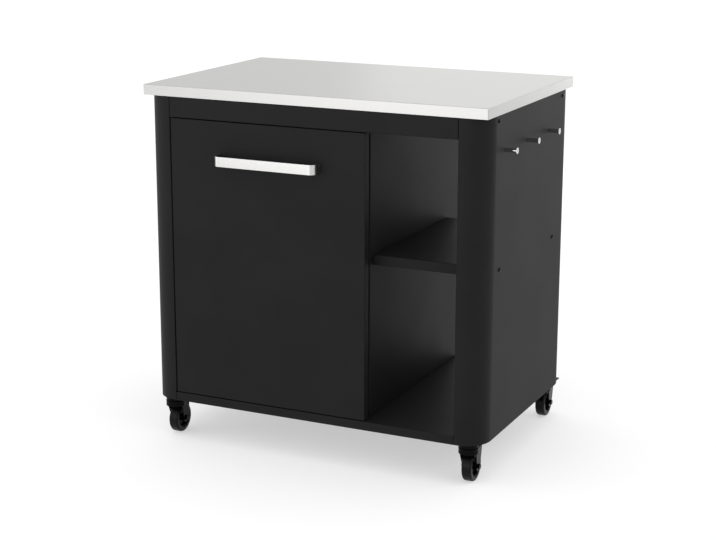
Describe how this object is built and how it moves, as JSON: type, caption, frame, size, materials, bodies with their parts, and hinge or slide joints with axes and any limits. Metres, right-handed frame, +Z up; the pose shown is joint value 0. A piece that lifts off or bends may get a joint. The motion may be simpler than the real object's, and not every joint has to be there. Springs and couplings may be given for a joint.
{
  "type": "outdoor grill cart",
  "caption": "Outdoor grill cart: steel worktop on a rounded dark sheet-metal cabinet with a tall pull-out, open shelved side, utensil pegs and swivel casters.",
  "frame": {"origin": "on the floor, under the middle of the whole cart's bounding box (pegs, handle and wheels included)", "axes": "+X to the right seen from the front, +Y to the back, +Z up; the pull-out and handle face -Y"},
  "size_m": [0.9298, 0.6528, 0.905],
  "materials": {
    "worktop": "brushed stainless sheet",
    "core": "moisture-resistant board, out of sight",
    "shell": "satin charcoal powder coat",
    "handle": "brushed stainless strap",
    "peg": "bright plated",
    "fixing": "zinc plated",
    "panel_screw": "black coated",
    "runner": "zinc plated roll-formed sheet",
    "caster_metal": "black coated pressed steel",
    "hub": "black moulded",
    "tyre": "black solid tread",
    "bumper": "black moulded"
  },
  "bodies": {
    "cart": {"worktop_skin": "worktop", "worktop_core": "core", "left_side_panel": "shell", "right_side_panel": "shell", "left_side_rail": "shell", "right_side_rail": "shell", "front_top_rail": "shell", "rear_top_rail": "shell", "base_tray": "shell", "left_caster_beam": "shell", "right_caster_beam": "shell", "divider_panel": "shell", "shelf": "shell", "left_runner_bracket": "shell", "right_runner_bracket": "shell", "worktop_screws": "fixing", "shelf_screws": "fixing", "caster_nuts": "fixing", "peg_nuts": "fixing", "side_panel_screws": "panel_screw", "peg_front": "peg", "peg_middle": "peg", "peg_rear": "peg", "left_runner_outer": "runner", "right_runner_outer": "runner", "front_left_caster_stem": "caster_metal", "front_right_caster_stem": "caster_metal", "rear_left_caster_stem": "caster_metal", "rear_right_caster_stem": "caster_metal"},
    "pull_out": {"drawer_front": "shell", "drawer_liner": "shell", "handle": "handle", "handle_screws": "fixing", "pull_out_tray": "shell", "left_brace": "shell", "right_brace": "shell", "left_runner_inner": "runner", "right_runner_inner": "runner", "front_bumpers": "bumper"},
    "left_runner_slider": {"left_runner_middle": "runner"},
    "right_runner_slider": {"right_runner_middle": "runner"},
    "front_left_swivel": {"front_left_caster_fork": "caster_metal", "front_left_caster_axle": "caster_metal"},
    "front_left_wheel": {"front_left_caster_hub": "hub", "front_left_caster_tyre": "tyre"},
    "front_right_swivel": {"front_right_caster_fork": "caster_metal", "front_right_caster_axle": "caster_metal"},
    "front_right_wheel": {"front_right_caster_hub": "hub", "front_right_caster_tyre": "tyre"},
    "rear_left_swivel": {"rear_left_caster_fork": "caster_metal", "rear_left_caster_axle": "caster_metal"},
    "rear_left_wheel": {"rear_left_caster_hub": "hub", "rear_left_caster_tyre": "tyre"},
    "rear_right_swivel": {"rear_right_caster_fork": "caster_metal", "rear_right_caster_axle": "caster_metal"},
    "rear_right_wheel": {"rear_right_caster_hub": "hub", "rear_right_caster_tyre": "tyre"}
  },
  "joints": [
    {"name": "pull_out_slide", "type": "slide", "parent": "cart", "child": "pull_out", "axis": [0, -1, 0], "range_m": [0, 0.45]},
    {"name": "left_runner_slide", "type": "slide", "parent": "cart", "child": "left_runner_slider", "axis": [0, -1, 0], "range_m": [0, 0.225]},
    {"name": "right_runner_slide", "type": "slide", "parent": "cart", "child": "right_runner_slider", "axis": [0, -1, 0], "range_m": [0, 0.225]},
    {"name": "front_left_swivel_turn", "type": "hinge", "parent": "cart", "child": "front_left_swivel", "pos_m": [-0.4183, -0.25528, 0.0895], "axis": [0, 0, 1], "continuous": true},
    {"name": "front_left_wheel_spin", "type": "hinge", "parent": "front_left_swivel", "child": "front_left_wheel", "pos_m": [-0.41875, -0.23528, 0.0375], "axis": [0.9997, 0.0227, 0], "continuous": true},
    {"name": "front_right_swivel_turn", "type": "hinge", "parent": "cart", "child": "front_right_swivel", "pos_m": [0.3897, -0.25528, 0.0895], "axis": [0, 0, 1], "continuous": true},
    {"name": "front_right_wheel_spin", "type": "hinge", "parent": "front_right_swivel", "child": "front_right_wheel", "pos_m": [0.38925, -0.23528, 0.0375], "axis": [0.9997, 0.0227, 0], "continuous": true},
    {"name": "rear_left_swivel_turn", "type": "hinge", "parent": "cart", "child": "rear_left_swivel", "pos_m": [-0.4183, 0.26872, 0.0895], "axis": [0, 0, 1], "continuous": true},
    {"name": "rear_left_wheel_spin", "type": "hinge", "parent": "rear_left_swivel", "child": "rear_left_wheel", "pos_m": [-0.41875, 0.28872, 0.0375], "axis": [0.9997, 0.0227, 0], "continuous": true},
    {"name": "rear_right_swivel_turn", "type": "hinge", "parent": "cart", "child": "rear_right_swivel", "pos_m": [0.3897, 0.26872, 0.0895], "axis": [0, 0, 1], "continuous": true},
    {"name": "rear_right_wheel_spin", "type": "hinge", "parent": "rear_right_swivel", "child": "rear_right_wheel", "pos_m": [0.38925, 0.28872, 0.0375], "axis": [0.9997, 0.0227, 0], "continuous": true}
  ],
  "couplings": [
    {"joint": "left_runner_slide", "follows": "pull_out_slide", "ratio": 0.5},
    {"joint": "right_runner_slide", "follows": "pull_out_slide", "ratio": 0.5}
  ]
}
